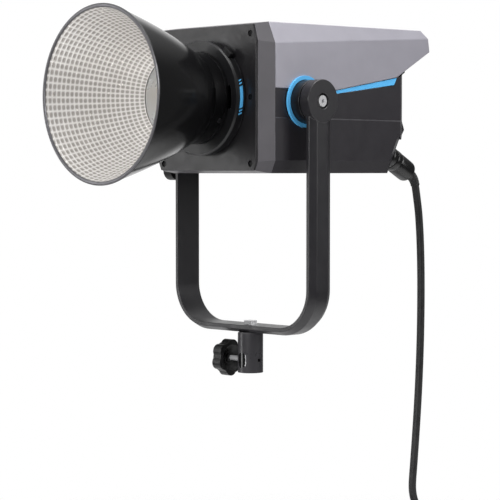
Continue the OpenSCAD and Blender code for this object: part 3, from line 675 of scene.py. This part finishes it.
def faceted_mirror():
    """The mirror: rows of shallow dimples with a ridge between each pair, and their depths, which also
    set the painted shade in the dimples.
    """
    rows, round_steps = int(CELL_RINGS * CELL_STEPS), CELLS_ROUND * CELL_STEPS
    back_rows = 20
    points, depths = [], []
    for i in range(rows + 1):
        share = i / rows
        r = bell_r(share, THROAT_R, MIRROR_R)
        along = THROAT_AT + (MOUTH - THROAT_AT) * share
        slope = (MIRROR_R ** 2 - THROAT_R ** 2) / (2 * r * (MOUTH - THROAT_AT))
        tilt = math.atan(slope)
        u = i % CELL_STEPS / CELL_STEPS
        for j in range(round_steps):
            v = j % CELL_STEPS / CELL_STEPS
            depth = (math.sin(math.pi * u) * math.sin(math.pi * v)) ** 0.8
            sink = DIMPLE_DEPTH * depth * (0.45 + 0.55 * r / MIRROR_R)
            depths.append(depth)
            a = 2 * math.pi * j / round_steps
            rr = r + sink * math.cos(tilt)
            points.append((rr * math.cos(a), rr * math.sin(a), along - sink * math.sin(tilt)))
    faces = [[i * round_steps + j, (i + 1) * round_steps + j,
              (i + 1) * round_steps + (j + 1) % round_steps, i * round_steps + (j + 1) % round_steps]
             for i in range(rows) for j in range(round_steps)]
    back = len(points)
    for i in range(back_rows + 1):
        share = i / back_rows
        r = bell_r(share, THROAT_R, MIRROR_R) + MIRROR_WALL
        along = THROAT_AT + (MOUTH - THROAT_AT) * share
        for j in range(round_steps):
            a = 2 * math.pi * j / round_steps
            points.append((r * math.cos(a), r * math.sin(a), along))
    n = round_steps
    faces += [[back + i * n + j, back + i * n + (j + 1) % n, back + (i + 1) * n + (j + 1) % n,
               back + (i + 1) * n + j] for i in range(back_rows) for j in range(n)]
    last, edge = rows * n, back + back_rows * n
    faces += [[last + j, edge + j, edge + (j + 1) % n, last + (j + 1) % n] for j in range(n)]
    faces += [[j, (j + 1) % n, back + (j + 1) % n, back + j] for j in range(n)]
    return (points, faces), depths


def throat_tube():
    return lathe([(THROAT_R, 98.2), (THROAT_R, THROAT_AT - 0.7), (THROAT_R + 0.9, THROAT_AT - 0.7),
                  (THROAT_R + 0.9, 98.2)], 144)


piece("reflector_bell", bell_shell(), "reflector", "bell_black", ("reflector_shell",),
      placed=REFLECTOR_FRAME)
mirror_shape, dimple_depths = faceted_mirror()
mirror = piece("reflector_mirror", mirror_shape, "reflector", "mirror_silver",
               ("reflector_liner",), 14, placed=REFLECTOR_FRAME)
# The depths of the dimples are stored for the mirror's painted shade, darker towards their middles
dimples = mirror.data.attributes.new("dimple_painted_shade", "FLOAT", "POINT")
for i, depth in enumerate(dimple_depths):
    dimples.data[i].value = depth
piece("reflector_throat", throat_tube(), "reflector", "mirror_silver", placed=REFLECTOR_FRAME,
      finish=coated("throat_white", srgb(236, 236, 236), 0.3, tint=0.02, Metallic=0.3))
throat_seam = [(THROAT_R - 0.3, THROAT_AT - 0.65), (THROAT_R - 0.3, THROAT_AT + 0.1),
               (THROAT_R + 0.6, THROAT_AT + 0.1), (THROAT_R + 0.6, THROAT_AT - 0.65)]
piece("reflector_seam", lathe(throat_seam, 144), "reflector", "bell_black",
      placed=REFLECTOR_FRAME)
LIP_GREY = coated("lip_grey", srgb(96, 95, 98), 0.32, tint=0.05, grain=2000, Metallic=0.5)
# The grey lip runs from the mirror over the mouth, with the shell hemmed black round it
lip = [(MOUTH_R - 3.55, MOUTH + 0.1), (MOUTH_R - 3.4, MOUTH + 0.9), (MOUTH_R - 2.6, MOUTH + 1.5),
       (MOUTH_R - 1.0, MOUTH + 1.75), (MOUTH_R + 0.2, MOUTH + 1.4), (MOUTH_R + 0.7, MOUTH + 0.8),
       (MOUTH_R + 0.7, MOUTH + 0.1)]
hem = arc_profile((MOUTH_R + 0.35, MOUTH + 0.35), 0.62, 0, 330, 11)
piece("reflector_lip", lathe(lip, 192), "reflector", "mirror_silver", ("reflector_rim",),
      finish=LIP_GREY, placed=REFLECTOR_FRAME)
piece("reflector_hem", lathe(hem, 192), "reflector", "bell_black", placed=REFLECTOR_FRAME)


# ---------- socket ----------

# A bright steel strip along the insert's right edge only, curling in at both ends: a painted highlight
# on the rim of the insert's recess, on the side where the light falls
socket_low, socket_high = box_mm("stand_receiver")
insert_low, insert_high = box_mm("receiver_insert")
SOCKET_R = (socket_high.x - socket_low.x) / 2
EDGE_MARGIN = 2.4
EDGE_STEPS = 12
edge_x = insert_high.x + 0.15
edge_y = -math.sqrt(SOCKET_R ** 2 - edge_x ** 2) + 0.1
edge_length = insert_high.z - insert_low.z - 2 * EDGE_MARGIN
edge = [(edge_x - 0.9 * (1 - math.sin(math.pi * t / EDGE_STEPS)) ** 2, edge_y,
         insert_low.z + EDGE_MARGIN + edge_length * t / EDGE_STEPS)
        for t in range(EDGE_STEPS + 1)]
piece("receiver_insert_highlight_strip", tube(edge, 0.55, 12), "yoke", "bright_steel", sharp=60)


# ---------- bayonet marks ----------

MARK_R = 65.5
MARK_THICK = 0.5
MARK_LOW, MARK_HIGH = 75.7, 80.0
MARK_LEAN = -1.5
SLIT = 1.4


def ring_patch(start, end, steps=12):
    """A raised patch on the ring's side, angles in degrees from +X, its ends leaning."""
    points = []
    for r in (MARK_R - MARK_THICK, MARK_R):
        for along, shift in ((MARK_LOW, 0.0), (MARK_HIGH, MARK_LEAN)):
            for i in range(steps + 1):
                a = math.radians(start + shift + (end - start) * i / steps)
                points.append((r * math.cos(a), r * math.sin(a), along))
    n = steps + 1
    faces = []
    for i in range(steps):
        faces += [[i, n + i, n + i + 1, i + 1], [2 * n + i, 2 * n + i + 1, 3 * n + i + 1, 3 * n + i],
                  [i, i + 1, 2 * n + i + 1, 2 * n + i],
                  [n + i, 3 * n + i, 3 * n + i + 1, n + i + 1]]
    faces += [[0, 2 * n, 3 * n, n], [n - 1, 2 * n - 1, 4 * n - 1, 3 * n - 1]]
    return points, faces


marks = [ring_patch(-10.0, 11.4)]
for k in range(2):
    for start in (13.6 + 3.2 * k, -13.4 - 3.2 * k):
        marks.append(ring_patch(start, start + SLIT))
piece("alignment_marks", joined(marks), "head", "blue_trim", ("bayonet_marks",),
      placed=REFLECTOR_FRAME)


# ---------- controls on the back ----------

def on_back(x, z):
    """A frame on the rear panel, seen from behind: X is to the viewer's right."""
    return facing((x, REAR_Y, z), (0, 1, 0))


def on_face(node):
    """A frame on the outer face of a knob or button, sunk just enough to leave no gap."""
    return facing((middle(node).x, box_mm(node)[1].y - 0.02, middle(node).z), (0, 1, 0))


GLOW = Graph("display_glow", Roughness=0.4, Emission_Strength=0.6)
GLOW.link(GLOW.mixed(GLOW.spread(GLOW.noise(500), 0, 1), srgb(150, 214, 240), srgb(104, 178, 222)),
          "Base Color")
GLOW.shader.inputs["Emission Color"].default_value = srgb(130, 200, 232)


def lit(outline, x, y):
    """A lit sign just under the display's glass."""
    return moved(slab(outline, -0.25, -0.12), Matrix.Translation((x, y, 0)))


bars = []
for k in range(9):
    height = 4 + 1.6 * k
    bars.append(lit(rounded_box(3, height, 0.5, 2), -19 + 4.6 * k, -8 + height / 2))
bars += [lit(rounded_box(56, 1.0, 0.4, 2), 0, -12), lit(disc(2.6, 24), -24, 12),
         lit(rounded_box(12, 3.4, 0.8, 3), 20, 12)]
display_middle = middle("display_window")
piece("display_bars", joined(bars), "head", "display_glass", finish=GLOW.material,
      placed=on_back(display_middle.x, display_middle.z))

PRINT = coated("panel_print", srgb(214, 214, 216), 0.6, tint=0.03)
for name, shape in (("menu", slab(rounded_box(3.4, 0.7, 0.2, 2), 0, 0.12)),
                    ("back", slab([(-1.6, 0), (1.2, 1.5), (1.2, -1.5)], 0, 0.12)),
                    ("light", slab(disc(1.3, 20), 0, 0.12))):
    node = f"{name}_button"
    piece(f"{name}_button_mark", shape, node, "button_grey", finish=PRINT, placed=on_face(node))
for node in ("dimmer_knob", "mode_knob"):
    line = moved(slab(rounded_box(1.0, 6.0, 0.4, 3), 0, 0.15), Matrix.Translation((0, 4.6, 0)))
    piece(f"{node}_line", line, node, "knob_black", finish=PRINT, placed=on_face(node))
    ticks = [moved(slab(rounded_box(0.6, 2.0, 0.2, 2), 0.0, 0.12),
                   Matrix.Rotation(math.radians(a), 4, "Z") @ Matrix.Translation((0, 13, 0)))
             for a in range(-135, 136, 27)]
    piece(f"{node}_scale", joined(ticks), "head", "panel_black", finish=PRINT,
          placed=on_back(middle(node).x, middle(node).z))

SOCKET_INSET = 12.6
SOCKET_PIN_CIRCLE = 5.2
SOCKET_PIN = [(0, -9), (0.9, -9), (0.9, -1.6), (0.5, -1.0), (0, -0.9)]
data_low, data_high = box_mm("dmx_sockets")
socket_pins = []
for x in (data_low.x + SOCKET_INSET, data_high.x - SOCKET_INSET):
    for k in range(5):
        a = math.radians(90 + 45 * (k - 2))
        at = (SOCKET_PIN_CIRCLE * math.cos(a) - x, SOCKET_PIN_CIRCLE * math.sin(a), 0)
        socket_pins.append(moved(solid_lathe(SOCKET_PIN, 16), Matrix.Translation(at)))
piece("dmx_pins", joined(socket_pins), "head", "bright_steel",
      placed=on_back(0, middle("dmx_sockets").z))


# ---------- carried-over CAD nodes ----------

BEVELS = {
    "top_cover": 0.7, "front_bezel": 0.7, "front_plate": 0.5, "lower_housing": 0.7,
    "yoke_bracket": 0.6, "stand_receiver": 0.5, "receiver_bolt": 0.4, "clamp_knob": 1.0,
    "clamp_screw": 0.4, "tilt_lever": 1.0, "pivot_hubs": 0.5, "pivot_screw": 0.35,
    "pivot_accent_rings": 0.3, "release_lever": 0.8, "bayonet_ring": 0.35, "rear_panel": 0.4,
    "switch_frame": 0.4, "power_switch": 0.4, "menu_button": 0.4, "back_button": 0.4,
    "light_button": 0.4, "dimmer_knob": 0.3, "mode_knob": 0.3, "dmx_sockets": 0.3,
    "reflector_flange": 0.3, "usb_port": 0.2, "receiver_insert": 0.3, "heat_sink": 0.15,
    "cob_holder": 0.4, "accent_stripes": 0.2, "socket_plate": 0.4,
}
# Nodes whose nearly flat facets meet at folds: coplanar faces are merged, then the folds bevelled
CREASED = ("top_cover", "front_bezel", "front_plate", "lower_housing", "yoke_bracket")
for name, obj in nodes.items():
    slot_name = obj.data.materials[0].name.split(".")[0]
    obj.data.materials[0] = FINISHES[slot_name]
    if "custom_normal" in obj.data.attributes:
        obj.data.attributes.remove(obj.data.attributes["custom_normal"])
    obj.data.shade_smooth()
    weld = obj.modifiers.new("weld", "WELD")
    weld.merge_threshold = 0.00002
    if name in CREASED:
        merge = obj.modifiers.new("flats", "DECIMATE")
        merge.decimate_type = "DISSOLVE"
        merge.angle_limit = math.radians(0.4)
    if name in BEVELS:
        bevel = obj.modifiers.new("bevel", "BEVEL")
        bevel.width = BEVELS[name] * MM
        bevel.segments = 2
        bevel.limit_method = "ANGLE"
        bevel.angle_limit = math.radians(12 if name in CREASED else 28)
        bevel.harden_normals = True
    normals = obj.modifiers.new("normals", "WEIGHTED_NORMAL")
    normals.keep_sharp = True
    normals.weight = 90


# ---------- stage and light ----------

def stage_floor():
    """A pale disc under the lamp that fades out before the view's edge."""
    radius = 1.3
    gap = 0.002
    bpy.ops.mesh.primitive_circle_add(vertices=96, radius=radius, fill_type="NGON",
                                      location=(0, 0.05, cad_box[0].z - gap))
    floor = bpy.context.active_object
    floor.name = "floor"
    g = Graph("floor_paint", Roughness=0.9)
    g.link(g.mixed(g.spread(g.noise(6, 3), 0, 1), srgb(240, 240, 240), srgb(234, 234, 235)),
           "Base Color")
    distance = g.add("ShaderNodeVectorMath", {0: g.place}, operation="LENGTH").outputs["Value"]
    g.link(g.spread(distance, 1.0, 0.0, 0.45 * radius, 0.98 * radius), "Alpha")
    floor.data.materials.append(g.material)


def area_light(name, place, target, size, power):
    """A softbox of size (wide, high) in metres and power in watts, turned to its target."""
    data = bpy.data.lights.new(name, "AREA")
    data.shape = "RECTANGLE"
    data.size, data.size_y = size
    data.energy = power
    light = bpy.data.objects.new(name, data)
    light.location = place
    way = Vector(target) - Vector(place)
    light.rotation_euler = way.to_track_quat("-Z", "Y").to_euler()
    bpy.context.scene.collection.objects.link(light)


def studio_world(away):
    """Studio surroundings: white straight behind the lamp, above and below it, dark sides."""
    world = bpy.data.worlds.new("studio")
    bpy.context.scene.world = world
    world.use_nodes = True
    tree = world.node_tree
    tree.nodes.clear()

    def add(kind, inputs=None, **settings):
        return add_node(tree, kind, inputs, **settings)

    def ramp(value, start, end, low, high):
        return add("ShaderNodeMapRange", {"Value": value, "From Min": start, "From Max": end,
                                          "To Min": low, "To Max": high},
                   interpolation_type="SMOOTHSTEP").outputs[0]

    way = add("ShaderNodeTexCoord").outputs["Generated"]
    behind = add("ShaderNodeVectorMath", {0: way, 1: away}, operation="DOT_PRODUCT")
    height = add("ShaderNodeSeparateXYZ", {0: way}).outputs["Z"]
    steep = add("ShaderNodeMath", {0: height}, operation="ABSOLUTE").outputs[0]
    level = add("ShaderNodeMath", {0: ramp(behind.outputs["Value"], 0.8, 0.97, 0, 1),
                                   1: ramp(steep, 0.3, 0.85, 0.12, 0.9)}, operation="MAXIMUM")
    white = (1, 1, 1, 1)
    seen = add("ShaderNodeBackground", {"Color": white, "Strength": 1.0})
    lit = add("ShaderNodeBackground", {"Color": white, "Strength": level.outputs[0]})
    path = add("ShaderNodeLightPath")
    mix = add("ShaderNodeMixShader", {0: path.outputs["Is Camera Ray"], 1: lit.outputs[0],
                                      2: seen.outputs[0]})
    add("ShaderNodeOutputWorld", {"Surface": mix.outputs[0]})


RIGHT = Vector((math.cos(VIEW_AZIMUTH), math.sin(VIEW_AZIMUTH), 0))
NEAR = Vector((math.sin(VIEW_AZIMUTH), -math.cos(VIEW_AZIMUTH), 0))
UP = Vector((0, 0, 1))
AIM = Vector((0, 0, 0.25))
stage_floor()
studio_world(-NEAR)
area_light("key", AIM - RIGHT * 0.9 + NEAR * 1.7 + UP * 0.5, AIM + UP * 0.05, (0.6, 0.6), 24)
area_light("left_strip", AIM - RIGHT * 1.7 + UP * 0.2, AIM, (0.35, 1.5), 8)
area_light("side", AIM + RIGHT * 1.7 + NEAR * 0.7 + UP * 0.6, AIM, (0.8, 1.2), 12)
area_light("top", AIM + UP * 1.5 + RIGHT * 0.5 + NEAR * 0.1, AIM, (1.1, 1.1), 26)

bpy.context.scene.view_settings.view_transform = "Standard"
